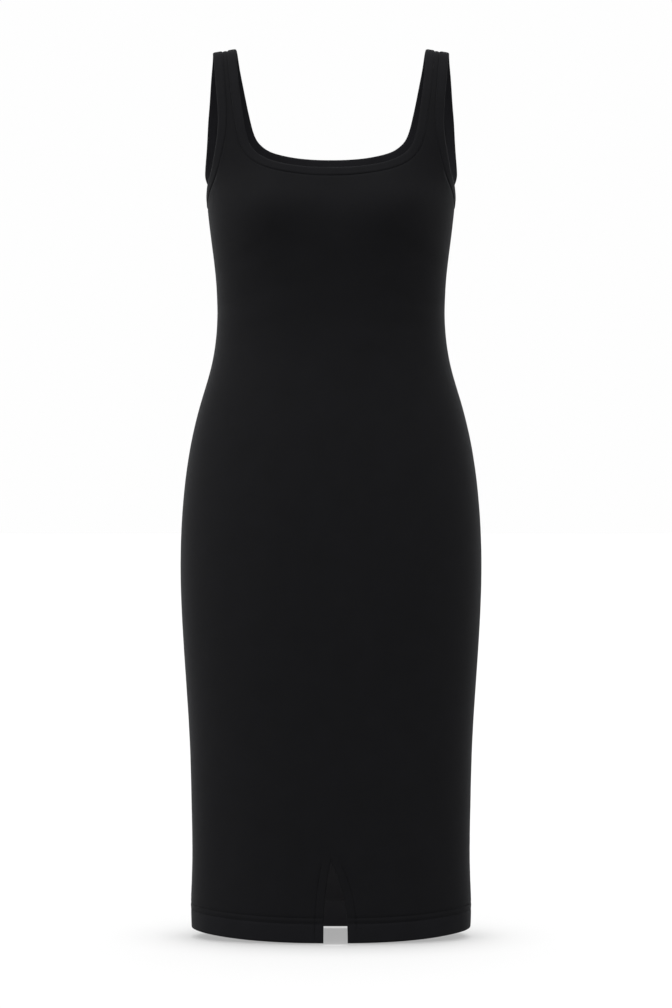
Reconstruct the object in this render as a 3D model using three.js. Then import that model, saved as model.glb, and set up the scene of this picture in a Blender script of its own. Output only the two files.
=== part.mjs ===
import * as THREE from "three";

// A sleeveless bodycon dress in jersey, worn form, hollow. Millimetres, +Z up, the front faces -Y.
// The origin is midway between the straps, level with their undersides at the shoulder.

// Cloth
const WALL = 1.5;
const SEAM_GAP = 0.3;
const HEM_FOLD = 1.2;
const HEM_RISE = 30;
const FOLD_STEP = 2;

// Shoulders: the straps drop outward from their inner corner, and the slope dies out lower down
const SHOULDER_SLOPE = 0.16;
const STRAP_INNER = 119;
const SLOPE_FADE = 40;

// Soft rounding over the bust of a general figure
const BUST = { high: 12, across: 87, down: 198, wide: 50, tall: 46 };

// Hem line: lowest at the centre front and back, a little higher at the side seams
const HEM = { side: 1096.4, drop: 10, power: 1.6 };

// Slit at the centre front of the hem: how far each edge stands from the centre line at the hem
const SLIT = { long: 100, left: -9.2, right: 20.5, power: 2.5, spread: 0.9, fold: 11 };

// Bands: width, and how far they stand out of and in from the panels
const BAND = { neck: 11, armhole: 12, outward: 0.5, inward: 0.4, round: 1.2, seamDip: 0.4 };

// Cross-sections of the worn dress, down from the shoulder. frontHalf and backHalf are half widths,
// front and back are depths from the side seams, square is the power of the superellipse.
const SECTIONS = table(["down", "frontHalf", "backHalf", "front", "back", "square"], [
  [0, 206, 206, 0, 0, 2.6],
  [12, 205, 205, 26, 27, 2.6],
  [40, 201, 203, 47, 49, 2.6],
  [80, 190, 196, 66, 70, 2.55],
  [120, 175, 185, 80, 86, 2.5],
  [155, 162, 170, 90, 96, 2.45],
  [177, 156.4, 156.4, 98, 100, 2.4],
  [190, 155.0, 155.0, 103, 101.5, 2.38],
  [207, 153.4, 153.4, 107, 102, 2.35],
  [240, 149.5, 149.5, 107, 100, 2.3],
  [275, 145.1, 145.1, 103.5, 95, 2.25],
  [314, 142.3, 142.3, 100, 89, 2.2],
  [340, 142.2, 142.2, 99, 88, 2.2],
  [365, 144.1, 144.1, 99.5, 90, 2.2],
  [402, 150.9, 150.9, 102.5, 96, 2.2],
  [440, 162.1, 162.1, 107, 105, 2.2],
  [490, 174.4, 174.4, 113, 115, 2.2],
  [540, 182.1, 182.1, 117, 122, 2.2],
  [590, 186.4, 186.4, 119, 126, 2.2],
  [650, 188.0, 188.0, 119, 126, 2.2],
  [715, 185.9, 185.9, 117, 121, 2.2],
  [790, 181.1, 181.1, 112, 114, 2.2],
  [870, 176.3, 176.3, 106, 106, 2.2],
  [950, 174.1, 174.1, 100, 100, 2.2],
  [1030, 173.8, 173.8, 94, 94, 2.2],
  [1066, 175.0, 175.0, 92, 92, 2.2],
  [1106, 173.8, 173.8, 90, 90, 2.2],
]);

// Finished edges, as degrees round the section (0 at the centre line, 90 at the side seam) and
// millimetres down. Neck edges run from the centre to the shoulder, armholes from the side seam.
const EDGES = {
  front: {
    neck: table(["round", "down"], [
      [0, 155.7],
      [6, 154.9],
      [11.6, 152.8],
      [17.4, 149.7],
      [21.5, 146.2],
      [25, 141.7],
      [27.6, 136.8],
      [29.4, 131],
      [30.5, 123.8],
      [30.9, 114],
      [30.7, 101],
      [30.0, 82],
      [29.3, 57],
      [28.95, 34],
      [29.0, 12],
      [29.2, 0],
    ]),
    armhole: table(["round", "down"], [
      [90, 187.5],
      [84, 181.5],
      [77.5, 172.8],
      [67.5, 160.3],
      [61, 148.6],
      [56, 136.8],
      [51.8, 124.7],
      [48.3, 112.7],
      [45.5, 99.5],
      [43.2, 84],
      [41.5, 66],
      [40.4, 46],
      [39.95, 26],
      [40.2, 9],
      [40.5, 0],
    ]),
  },
  back: {
    neck: table(["round", "down"], [
      [0, 130.4],
      [4.5, 129.7],
      [8.5, 128.4],
      [12.5, 126.3],
      [16.5, 123.4],
      [20.2, 119.3],
      [22.9, 113.4],
      [24.6, 106.8],
      [25.6, 97],
      [26.1, 83],
      [26.6, 62],
      [27.4, 37],
      [28.5, 14],
      [29.2, 0],
    ]),
    armhole: table(["round", "down"], [
      [90, 187.5],
      [83, 184.5],
      [76, 173.5],
      [70.3, 160.2],
      [63.5, 147.5],
      [58.3, 133.5],
      [55, 120],
      [51.8, 103.5],
      [48.9, 86],
      [46, 66.5],
      [43.7, 45],
      [42.1, 24],
      [41.1, 8],
      [40.5, 0],
    ]),
  },
};

// Mesh lines. Columns count from the centre to the side seam: under the neck, under the strap and
// under the armhole. Rows count up the skirt, the chest and the strap.
const GRID = {
  front: { neck: 8, strap: 3, arm: 5, fold: true },
  back: { neck: 6, strap: 3, arm: 5, fold: false },
};
const STRAP_ROWS = 12;
const CHEST_ROWS = 8;
const SKIRT_ROWS = 20;
const CHEST_LINE = 262;
const RISES = [0, 15, HEM_RISE, HEM_RISE + FOLD_STEP, 48, 64, 78, 90, SLIT.long];
const SLIT_FOLDS = [0, SLIT.fold, SLIT.fold + FOLD_STEP];
const FOLD_SHARES = [0, 0.048, 0.056];
const NECK_CORNER = 0.42;
const ARM_CORNER = 0.25;
const EASE = 1.25;

const CLOTH = { name: "black_jersey", color: 0x17171a, roughness: 0.9 };
const DEGREE = Math.PI / 180;

function table(names, rows) {
  return rows.map((row) => Object.fromEntries(names.map((name, i) => [name, row[i]])));
}

function mix(a, b, t) {
  return a + (b - a) * t;
}

function smooth(t) {
  return t * t * (3 - 2 * t);
}

// Natural cubic spline through the points
function spline(xs, ys) {
  const last = xs.length - 1;
  const bend = new Array(last + 1).fill(0);
  const carry = new Array(last + 1).fill(0);
  for (let i = 1; i < last; i++) {
    const before = xs[i] - xs[i - 1];
    const after = xs[i + 1] - xs[i];
    const slopes = (ys[i + 1] - ys[i]) / after - (ys[i] - ys[i - 1]) / before;
    const pivot = 2 * (before + after) - before * carry[i - 1];
    carry[i] = after / pivot;
    bend[i] = (6 * slopes - before * bend[i - 1]) / pivot;
  }
  for (let i = last - 1; i > 0; i--) bend[i] -= carry[i] * bend[i + 1];
  return (x) => {
    let i = 0;
    while (i < last - 1 && x > xs[i + 1]) i++;
    const h = xs[i + 1] - xs[i];
    const a = (xs[i + 1] - x) / h;
    const b = (x - xs[i]) / h;
    const cubic = (a ** 3 - a) * bend[i] + (b ** 3 - b) * bend[i + 1];
    return a * ys[i] + b * ys[i + 1] + (cubic * h * h) / 6;
  };
}

// Sections are splined over the root of the distance down, so that the shoulder rounds over
const ROOTS = SECTIONS.map((row) => Math.sqrt(row.down));
const SECTION = Object.fromEntries(
  ["frontHalf", "backHalf", "front", "back", "square"].map((name) => [
    name,
    spline(ROOTS, SECTIONS.map((row) => row[name])),
  ]),
);

function bustRise(x, down) {
  const bump = (centre) =>
    Math.exp(-(((x - centre) / BUST.wide) ** 2) - ((down - BUST.down) / BUST.tall) ** 2);
  return BUST.high * (bump(BUST.across) + bump(-BUST.across));
}

// Outer face of the cloth: side is front or back, round is in radians and root is sqrt(down)
function surface(side, round, root) {
  const down = root * root;
  const half = SECTION[side + "Half"](root);
  const power = 2 / SECTION.square(root);
  const across = Math.sin(round);
  const along = Math.cos(round);
  const x = half * Math.sign(across) * Math.abs(across) ** power;
  let depth = SECTION[side](root) * Math.sign(along) * Math.abs(along) ** power;
  if (side === "front") depth += bustRise(x, down) * Math.sqrt(Math.max(along, 0));
  const slope = SHOULDER_SLOPE * (Math.abs(x) - STRAP_INNER) * Math.exp(-down / SLOPE_FADE);
  const y = side === "front" ? -depth - SEAM_GAP / 2 : depth + SEAM_GAP / 2;
  return new THREE.Vector3(x, y, WALL - down - slope);
}

function slopes(side, round, root) {
  const step = 1e-4;
  const atRound = surface(side, round + step, root).sub(surface(side, round - step, root));
  const atRoot = surface(side, round, root + step).sub(surface(side, round, root - step));
  return { byRound: atRound.divideScalar(2 * step), byRoot: atRoot.divideScalar(2 * step) };
}

function outward(side, round, root) {
  const { byRound, byRoot } = slopes(side, round, root);
  const normal = byRound.cross(byRoot).normalize();
  return side === "front" ? normal.negate() : normal;
}

// Steps over the surface from a place, at right angles to the tangent, into the panel
function walk(side, place, tangent, inward, distance) {
  const across = outward(side, place.round, place.root).cross(tangent).normalize();
  const start = surface(side, place.round, place.root);
  const goal = start.addScaledVector(across, inward * distance);
  let { round, root } = place;
  for (let turn = 0; turn < 12; turn++) {
    const miss = goal.clone().sub(surface(side, round, root));
    const { byRound, byRoot } = slopes(side, round, root);
    const a = byRound.dot(byRound);
    const b = byRound.dot(byRoot);
    const c = byRoot.dot(byRoot);
    const p = byRound.dot(miss);
    const q = byRoot.dot(miss);
    round += (c * p - b * q) / (a * c - b * b);
    root += (a * q - b * p) / (a * c - b * b);
  }
  return { round, root };
}

// A finished edge as a path: share 0 is its first row and share 1 the shoulder
function edgePath(side, rows, mirrored) {
  const before = mirrored ? [rows[2], rows[1]].map((row) => ({ ...row, round: -row.round })) : [];
  const places = [...before, ...rows].map((row) => ({
    round: row.round * DEGREE,
    root: Math.sqrt(row.down),
  }));
  const points = places.map((place) => surface(side, place.round, place.root));
  const lengths = [0];
  for (let i = 1; i < points.length; i++) {
    lengths.push(lengths[i - 1] + points[i].distanceTo(points[i - 1]));
  }
  const start = lengths[before.length];
  const total = lengths[lengths.length - 1] - start;
  const along = lengths.map((length) => length - start);
  const round = spline(along, places.map((place) => place.round));
  const root = spline(along, places.map((place) => place.root));
  return (share) => ({ round: round(share * total), root: root(share * total) });
}

// Stations down a finished edge, with the places of the edge, the band's seam and the panel's seam
function stations(side, kind, shares) {
  const path = edgePath(side, EDGES[side][kind], kind === "neck");
  const forward = side === "front" ? 1 : -1;
  const inward = kind === "neck" ? -forward : forward;
  const first = kind === "neck" ? new THREE.Vector3(1, 0, 0) : new THREE.Vector3(0, -forward, 0);
  const last = new THREE.Vector3(0, forward, 0);
  return shares.map((share) => {
    const edge = path(share);
    const ahead = path(share + 1e-3);
    const behind = path(share - 1e-3);
    let tangent = surface(side, ahead.round, ahead.root);
    tangent.sub(surface(side, behind.round, behind.root)).normalize();
    if (share === 0) tangent = first;
    if (share === 1) tangent = last;
    return {
      edge,
      seam: walk(side, edge, tangent, inward, BAND[kind]),
      panel: walk(side, edge, tangent, inward, BAND[kind] + SEAM_GAP),
    };
  });
}

// Shares of an edge, closer together on both sides of its corner and at the shoulder
function cornerShares(corner, before, after, extra) {
  const shares = [...extra];
  const from = extra[extra.length - 1] / corner;
  const steps = before - extra.length + 1;
  for (let i = 1; i <= steps; i++) {
    shares.push(corner * mix(from, 1, 1 - (1 - i / steps) ** EASE));
  }
  for (let i = 1; i <= after; i++) {
    shares.push(mix(corner, 1, mix(i / after, smooth(i / after), 0.5)));
  }
  return shares;
}

function sideStations(side) {
  const grid = GRID[side];
  const folds = grid.fold ? FOLD_SHARES : [0];
  return {
    neck: stations(side, "neck", cornerShares(NECK_CORNER, grid.neck, STRAP_ROWS, folds)),
    arm: stations(side, "armhole", cornerShares(ARM_CORNER, grid.arm, STRAP_ROWS, [0])),
  };
}

function roundAt(side, x, root) {
  const ratio = x / SECTION[side + "Half"](root);
  return Math.asin(ratio ** (SECTION.square(root) / 2));
}

function between(a, b, t) {
  return { round: mix(a.round, b.round, t), root: mix(a.root, b.root, t) };
}

function hemDown(round) {
  return HEM.side + HEM.drop * Math.max(Math.cos(round), 0) ** HEM.power;
}

// Places of every mesh line of half a panel. half is 1 on the wearer's left and -1 on the right.
function halfPanel(side, edges, half) {
  const grid = GRID[side];
  const columns = grid.neck + grid.strap + grid.arm;
  const baseRoot = Math.sqrt(CHEST_LINE);
  const folds = grid.fold ? SLIT_FOLDS.map((x) => roundAt(side, x, baseRoot)) : [0];
  const skirt = [];
  for (let c = 0; c <= columns; c++) {
    const even = (c - folds.length + 1) / (columns - folds.length + 1);
    skirt.push(c < folds.length ? folds[c] : mix(folds[folds.length - 1], Math.PI / 2, even));
  }
  const top = [];
  for (let c = 0; c <= columns; c++) {
    const onStrap = (c - grid.neck) / grid.strap;
    if (c <= grid.neck) top.push(edges.neck[c].panel);
    else if (onStrap < 1) {
      top.push(between(edges.neck[grid.neck].panel, edges.arm[grid.arm].panel, onStrap));
    } else top.push(edges.arm[columns - c].panel);
  }
  const rows = RISES.map((rise) => skirt.map((round, c) => slitPlace(side, round, c, rise, half)));
  const foot = RISES[RISES.length - 1];
  for (let r = 1; r <= SKIRT_ROWS; r++) {
    const row = skirt.map((round) => {
      const down = mix(hemDown(round) - foot, CHEST_LINE, r / SKIRT_ROWS);
      return { round, root: Math.sqrt(down) };
    });
    rows.push(row);
  }
  for (let r = 1; r <= CHEST_ROWS; r++) {
    const t = r / CHEST_ROWS;
    const row = skirt.map((round, c) => {
      const down = mix(CHEST_LINE, top[c].root ** 2, t);
      return { round: mix(round, top[c].round, smooth(t)), root: Math.sqrt(down) };
    });
    rows.push(row);
  }
  for (let r = 1; r <= STRAP_ROWS; r++) {
    const row = [];
    for (let c = grid.neck; c <= grid.neck + grid.strap; c++) {
      const inner = edges.neck[grid.neck + r].panel;
      const outer = edges.arm[grid.arm + r].panel;
      row[c] = between(inner, outer, (c - grid.neck) / grid.strap);
    }
    rows.push(row);
  }
  return rows;
}

// The rows at the hem: the front's columns are drawn aside by the open slit
function slitPlace(side, round, column, rise, half) {
  const root = Math.sqrt(hemDown(round) - rise);
  if (!GRID[side].fold) return { round, root };
  const edge = half > 0 ? SLIT.right : -SLIT.left;
  const open = edge * (1 - (rise / SLIT.long) ** SLIT.power);
  const shift = Math.max(0, 1 - round / SLIT.spread);
  const { x } = surface(side, round, root);
  const folded = column < SLIT_FOLDS.length ? SLIT_FOLDS[column] : x;
  const moved = folded + open * (column < SLIT_FOLDS.length ? 1 : shift);
  return { round: column > GRID[side].neck ? round : roundAt(side, moved, root), root };
}

function wallAt(side, column, row) {
  const inHem = RISES[row] <= HEM_RISE;
  const inSlitFold = GRID[side].fold && column <= 1 && row < RISES.length;
  return inHem || inSlitFold ? WALL + HEM_FOLD : WALL;
}

// A closed wall on a net of quads: outer points, inner points, and a strip on every free edge
function wall(points, normals, thickness, quads) {
  const count = points.length;
  const inner = points.map((p, i) => p.clone().addScaledVector(normals[i], -thickness[i]));
  const faces = [];
  const sides = new Map();
  for (const quad of quads) {
    quad.forEach((a, i) => {
      const b = quad[(i + 1) % 4];
      const back = `${b} ${a}`;
      if (sides.has(back)) sides.delete(back);
      else sides.set(`${a} ${b}`, [a, b]);
    });
    const [a, b, c, d] = quad;
    faces.push([a, b, c], [a, c, d]);
    faces.push([a + count, c + count, b + count], [a + count, d + count, c + count]);
  }
  for (const [a, b] of sides.values()) {
    faces.push([b, a, a + count], [b, a + count, b + count]);
  }
  return solid([...points, ...inner], faces);
}

// Makes a closed body, turned so that its faces point out
function solid(points, faces) {
  const volume = faces.reduce((sum, [a, b, c]) => {
    return sum + points[a].dot(points[b].clone().cross(points[c]));
  }, 0);
  const turned = volume > 0 ? faces : faces.map(([a, b, c]) => [a, c, b]);
  const geometry = new THREE.BufferGeometry();
  const positions = points.flatMap((point) => point.toArray());
  geometry.setAttribute("position", new THREE.Float32BufferAttribute(positions, 3));
  geometry.setIndex(turned.flat());
  geometry.computeVertexNormals();
  return geometry;
}

function panel(side, edges) {
  const halves = { "-1": halfPanel(side, edges, -1), "1": halfPanel(side, edges, 1) };
  const slitRows = GRID[side].fold ? RISES.length - 1 : 0;
  const points = [];
  const normals = [];
  const thickness = [];
  const known = new Map();
  const vertex = (c, r, half) => {
    const shared = c === 0 && r >= slitRows;
    const key = `${c} ${r} ${shared ? 0 : half}`;
    if (!known.has(key)) {
      const { round, root } = halves[half][r][c];
      const middle = shared ? 0 : 1;
      points.push(surface(side, round, root).multiply(new THREE.Vector3(half * middle, 1, 1)));
      normals.push(outward(side, round, root).multiply(new THREE.Vector3(half * middle, 1, 1)));
      thickness.push(wallAt(side, c, r));
      known.set(key, points.length - 1);
    }
    return known.get(key);
  };
  const quads = [];
  for (const half of [-1, 1]) {
    const rows = halves[half];
    for (let r = 0; r + 1 < rows.length; r++) {
      for (let c = 0; c + 1 < rows[0].length; c++) {
        if (!rows[r + 1][c] || !rows[r + 1][c + 1]) continue;
        const foot = vertex(c, r, half);
        const across = vertex(c + 1, r, half);
        const opposite = vertex(c + 1, r + 1, half);
        const above = vertex(c, r + 1, half);
        quads.push(half > 0 ? [foot, across, opposite, above] : [foot, above, opposite, across]);
      }
    }
  }
  return wall(points, normals, thickness, quads);
}

// Folded band in section, as shares from the finished edge to the seam and heights over the panel
function bandProfile(width) {
  const inside = -WALL - BAND.inward;
  const middle = (BAND.outward + inside) / 2;
  const rounding = BAND.round / width;
  const dip = 1 - (2 * BAND.round) / width;
  return table(["share", "height"], [
    [1, BAND.outward - BAND.seamDip],
    [dip, BAND.outward],
    [rounding, BAND.outward],
    [0, middle + 0.5],
    [0, middle - 0.5],
    [rounding, inside],
    [dip, inside],
    [1, inside + BAND.seamDip],
  ]);
}

function bandSection(side, station, width, half, fold) {
  return bandProfile(width).map(({ share, height }) => {
    const { round, root } = between(station.edge, station.seam, share);
    const point = surface(side, round, root);
    point.addScaledVector(outward(side, round, root), height);
    if (fold.x) point.x = 0;
    if (fold.y) point.y = 0;
    point.x *= half;
    return point;
  });
}

// Joins band sections, in order, into a closed ring
function ring(sections) {
  const size = sections[0].length;
  const faces = [];
  sections.forEach((section, s) => {
    const next = (s + 1) % sections.length;
    for (let i = 0; i < size; i++) {
      const j = (i + 1) % size;
      const a = s * size + i;
      const b = s * size + j;
      const c = next * size + j;
      const d = next * size + i;
      faces.push([a, b, c], [a, c, d]);
    }
  });
  return solid(sections.flat(), faces);
}

function neckBand(edges) {
  const sections = [];
  const add = (side, half, order) => {
    const list = edges[side].neck;
    const last = list.length - 1;
    for (let i = 0; i < last; i++) {
      const at = order > 0 ? i : last - i;
      const fold = { x: at === 0, y: at === last };
      sections.push(bandSection(side, list[at], BAND.neck, half, fold));
    }
  };
  add("front", 1, 1);
  add("back", 1, -1);
  add("back", -1, 1);
  add("front", -1, -1);
  return ring(sections);
}

function armholeBand(edges, half) {
  const sections = [];
  const add = (side, order) => {
    const list = edges[side].arm;
    const last = list.length - 1;
    for (let i = 0; i < last; i++) {
      const at = order > 0 ? i : last - i;
      const fold = { x: false, y: at === 0 || at === last };
      sections.push(bandSection(side, list[at], BAND.armhole, half, fold));
    }
  };
  add("front", 1);
  add("back", -1);
  return ring(sections);
}

function mesh(name, geometry) {
  const material = new THREE.MeshStandardMaterial({ color: CLOTH.color, roughness: CLOTH.roughness });
  material.name = CLOTH.name;
  const body = new THREE.Mesh(geometry, material);
  body.name = name;
  return body;
}

const edges = { front: sideStations("front"), back: sideStations("back") };
const group = new THREE.Group();
group.name = "bodycon_dress";
group.add(mesh("front_panel", panel("front", edges.front)));
group.add(mesh("back_panel", panel("back", edges.back)));
group.add(mesh("neck_band", neckBand(edges)));
group.add(mesh("armhole_band_left", armholeBand(edges, 1)));
group.add(mesh("armhole_band_right", armholeBand(edges, -1)));

export default group;
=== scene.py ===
import math

import bpy
import numpy as np
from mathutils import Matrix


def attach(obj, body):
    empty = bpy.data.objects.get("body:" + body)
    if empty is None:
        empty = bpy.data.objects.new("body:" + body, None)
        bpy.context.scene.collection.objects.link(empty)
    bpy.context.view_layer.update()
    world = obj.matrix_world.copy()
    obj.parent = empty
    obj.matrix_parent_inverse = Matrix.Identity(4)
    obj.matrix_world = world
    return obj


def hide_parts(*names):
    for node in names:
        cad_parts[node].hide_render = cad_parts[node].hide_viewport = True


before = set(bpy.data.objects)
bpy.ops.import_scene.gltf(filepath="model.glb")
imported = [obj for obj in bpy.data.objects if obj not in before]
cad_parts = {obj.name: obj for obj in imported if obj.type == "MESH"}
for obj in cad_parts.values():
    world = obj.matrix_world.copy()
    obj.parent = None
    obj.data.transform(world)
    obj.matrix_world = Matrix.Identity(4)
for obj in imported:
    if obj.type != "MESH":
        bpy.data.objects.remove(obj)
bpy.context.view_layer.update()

# Sizes are in millimetres until a mesh is made. This group is the form of the solids.
MM = 0.001
WALL = 1.5
SHOULDER_SLOPE, STRAP_INNER, SLOPE_FADE = 0.16, 119.0, 40.0
BUST = {"high": 12.0, "across": 87.0, "down": 198.0, "wide": 50.0, "tall": 46.0}
HEM = {"side": 1096.4, "drop": 10.0, "power": 1.6}
SLIT = {"long": 100.0, "left": 9.2, "right": 20.5, "power": 2.5, "spread": 0.9}
BAND = {"neck": 11.0, "armhole": 12.0}

SECTIONS = np.array([
    # down, front half width, back half width, front depth, back depth, squareness
    (0, 206, 206, 0, 0, 2.6),
    (12, 205, 205, 26, 27, 2.6),
    (40, 201, 203, 47, 49, 2.6),
    (80, 190, 196, 66, 70, 2.55),
    (120, 175, 185, 80, 86, 2.5),
    (155, 162, 170, 90, 96, 2.45),
    (177, 156.4, 156.4, 98, 100, 2.4),
    (190, 155.0, 155.0, 103, 101.5, 2.38),
    (207, 153.4, 153.4, 107, 102, 2.35),
    (240, 149.5, 149.5, 107, 100, 2.3),
    (275, 145.1, 145.1, 103.5, 95, 2.25),
    (314, 142.3, 142.3, 100, 89, 2.2),
    (340, 142.2, 142.2, 99, 88, 2.2),
    (365, 144.1, 144.1, 99.5, 90, 2.2),
    (402, 150.9, 150.9, 102.5, 96, 2.2),
    (440, 162.1, 162.1, 107, 105, 2.2),
    (490, 174.4, 174.4, 113, 115, 2.2),
    (540, 182.1, 182.1, 117, 122, 2.2),
    (590, 186.4, 186.4, 119, 126, 2.2),
    (650, 188.0, 188.0, 119, 126, 2.2),
    (715, 185.9, 185.9, 117, 121, 2.2),
    (790, 181.1, 181.1, 112, 114, 2.2),
    (870, 176.3, 176.3, 106, 106, 2.2),
    (950, 174.1, 174.1, 100, 100, 2.2),
    (1030, 173.8, 173.8, 94, 94, 2.2),
    (1066, 175.0, 175.0, 92, 92, 2.2),
    (1106, 173.8, 173.8, 90, 90, 2.2),
])

# Finished edges: degrees round the section, millimetres down
EDGES = {
    "front": {
        "neck": [
            (0, 155.7), (6, 154.9), (11.6, 152.8), (17.4, 149.7), (21.5, 146.2), (25, 141.7),
            (27.6, 136.8), (29.4, 131), (30.5, 123.8), (30.9, 114), (30.7, 101), (30.0, 82),
            (29.3, 57), (28.95, 34), (29.0, 12), (29.2, 0),
        ],
        "armhole": [
            (90, 187.5), (84, 181.5), (77.5, 172.8), (67.5, 160.3), (61, 148.6), (56, 136.8),
            (51.8, 124.7), (48.3, 112.7), (45.5, 99.5), (43.2, 84), (41.5, 66), (40.4, 46),
            (39.95, 26), (40.2, 9), (40.5, 0),
        ],
    },
    "back": {
        "neck": [
            (0, 130.4), (4.5, 129.7), (8.5, 128.4), (12.5, 126.3), (16.5, 123.4), (20.2, 119.3),
            (22.9, 113.4), (24.6, 106.8), (25.6, 97), (26.1, 83), (26.6, 62), (27.4, 37),
            (28.5, 14), (29.2, 0),
        ],
        "armhole": [
            (90, 187.5), (83, 184.5), (76, 173.5), (70.3, 160.2), (63.5, 147.5), (58.3, 133.5),
            (55, 120), (51.8, 103.5), (48.9, 86), (46, 66.5), (43.7, 45), (42.1, 24),
            (41.1, 8), (40.5, 0),
        ],
    },
}

# Cloth of the shells: its thickness, how far the panels run under their bands, and the least
# thickness under a groove
CLOTH, TUCK, LEAST_CLOTH = 1.2, 0.8, 0.45
# A turned edge adds this share of the thickness over a short step
TURN_ADDS, TURN_STEP = 0.95, 1.2
# A folded edge falls by a millimetre on its outer face within this reach, and a share inside
FOLD_REACH, FOLD_INSIDE = 1.2, 0.9
# Share of the sewn relief that shows on the inner face
RELIEF_INSIDE = 0.25

# Sewing, measured up from the hem's fold or in from an edge
HEM_ROWS = (24.0, 31.3)
HEM_TURN = 33.0
SLIT_ROW, SLIT_TURN, SLIT_SEWN = 11.0, 12.5, 112
BAND_STITCH = 1.8
# Depth and half width of the groove along a row of stitches or a seam
GROOVE = {
    "hem": (0.42, 1.2), "slit": (0.40, 1.1), "band": (0.60, 1.7), "side": (0.40, 1.2),
    "shoulder": (0.40, 1.2),
}
# Height and half width of the puckers beside it
PUCKER = {"hem": (0.16, 4.0), "slit": (0.12, 3.5), "band": (0.14, 3.5), "side": (0.10, 4.0)}
BAND_PUCKER_IN, SIDE_PUCKER_IN = 1.5, 1.0
# Soft ridge between the hem's two rows, and the slight flare below them away from the side
HEM_RIDGE = {"high": 0.20, "wide": 1.8}
HEM_FLARE = {"rate": 0.018, "fade": 90}
# Slow waves along the hem: height, middle and half width of their belt, fade beside the slit
HEM_SWELL = {"high": 0.16, "middle": 12, "wide": 13, "fade": 10}
HEM_SWELL_WAVES = ((1.0, 8.3, 0.0), (0.8, 5.1, 1.3), (0.6, 13.9, 0.4))

# Soft creases: middle (x, z), direction in degrees from level, half length,
# half width and depth. A ridge has a negative depth.
CREASES = {
    "front": [
        (-118, -318, 14, 46, 9, 0.8), (-104, -338, 8, 38, 8, -0.6), (121, -322, -12, 52, 10, 0.9),
        (96, -345, -4, 44, 9, 0.6), (-60, -300, 5, 60, 12, 0.5), (44, -366, -7, 66, 13, -0.5),
        (-98, -258, 34, 34, 10, 0.8), (102, -256, -31, 36, 11, 0.9), (-70, -470, 58, 70, 16, 0.7),
        (84, -520, -62, 88, 18, 0.7), (-104, -640, 76, 110, 20, 0.6), (70, -744, 84, 130, 22, 0.7),
        (-38, -880, 82, 120, 20, 0.6), (118, -930, -80, 90, 16, 0.6), (-128, -985, 86, 70, 14, 0.6),
        (30, -986, 78, 46, 9, 0.7), (-26, -1002, -76, 40, 8, 0.6),
    ],
    "back": [
        (-92, -316, 6, 62, 10, 1.0), (58, -304, -4, 74, 11, 0.9), (4, -338, 2, 96, 12, 1.2),
        (-40, -362, 5, 70, 11, -0.8), (104, -350, -10, 48, 10, 0.9), (-110, -278, 16, 40, 10, 0.7),
        (36, -272, -3, 80, 12, 0.7), (-70, -430, 48, 64, 16, 0.8), (82, -446, -50, 70, 16, 0.8),
        (0, -640, 90, 90, 18, 0.9), (-96, -820, 84, 120, 20, 0.7), (88, -860, -82, 110, 20, 0.7),
        (20, -960, 88, 90, 16, 0.6),
    ],
}
# A crease bows, and its cloth is pushed up a little on both sides
CREASE_BOW, CREASE_SIDE_HIGH, CREASE_SIDE_WIDE = 0.0016, 0.45, 2.1
CREASE_PHASE = {"front": 0.9, "back": 2.3}
# Creases die away over these lengths towards the bands, the side seams, the hem and the slit
CREASE_FADE = {"band": 25, "side": 18, "hem": 40, "slit": 30}
CREASE_OFF_HEM = 2

# Section of a folded band
BAND_SHAPE = [
    # share of the width from the finished edge to the seam, height over the panel's outer face
    (1.0, -0.75), (0.98, -0.2), (0.93, 0.25), (0.85, 0.5), (0.74, 0.58), (0.6, 0.56),
    (0.45, 0.56), (0.32, 0.58), (0.2, 0.48), (0.11, 0.22), (0.045, -0.15), (0.0, -0.6),
    (0.03, -1.15), (0.1, -1.5), (0.3, -1.62), (0.6, -1.62), (0.85, -1.58), (0.97, -1.4),
    (1.0, -1.1),
]
BAND_INNER_FACE = -1
BAND_CLOSE = 0.75
BAND_GATHER = {"high": 0.17, "at": 0.86, "wide": 0.2}
BAND_SWELL = {"high": 0.10, "long": 17}
BAND_FADE = 10
BAND_STATIONS = 131

# Machine stitches: pitch, length, radius; then the form of one
HEM_STITCH = {"pitch": 3.0, "length": 2.35, "radius": 0.24}
BAND_STITCH_SIZE = {"pitch": 2.8, "length": 2.2, "radius": 0.2}
STITCH_SIDES, STITCH_RINGS = 6, 5
STITCH_BLUNT, STITCH_TIP, STITCH_FLAT, STITCH_DIP = 0.7, 0.25, 0.8, 0.30
STITCH_LIFT = {"hem": -0.18, "slit": -0.16, "band": 0.50}

# Mesh lines: columns of neckline, strap and armhole, and rows from the hem to the shoulder
GRID = {"front": (36, 12, 20), "back": (30, 12, 20)}
SLIT_LINES = np.array([0, 0.7, 1.6, 3, 5.5, 8, 9.8, 11, 12.2, 14, 17])
RISES = np.array([
    0, 0.6, 1.5, 3, 6, 10, 14, 18, 21, 23, 24, 25, 27, 29, 30.4, 31.3, 32.2, 34, 37, 41, 46, 52, 58,
    64, 70, 76, 82, 87, 91, 94, 96.5, 98.5, 100,
])
SKIRT_ROWS, CHEST_ROWS, STRAP_ROWS, CHEST_LINE = 118, 24, 44, 262.0
SEAM_ROW = len(RISES) + SKIRT_ROWS + CHEST_ROWS - 1
# Share of an edge's path at which the strap begins, and the front neckline's length, by which
# its first stations follow SLIT_LINES
NECK_CORNER, ARM_CORNER, NECK_PATH = 0.42, 0.25, 250
# Stand-ins: a place for cells without cloth, the length along a row at which the strap's rows
# begin, and a distance at which nothing is felt
NO_PLACE, STRAP_ARC, FAR = (0.5, 5.0), STRAP_INNER + 11, 500.0
NEWTON_STEPS = 14


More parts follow.
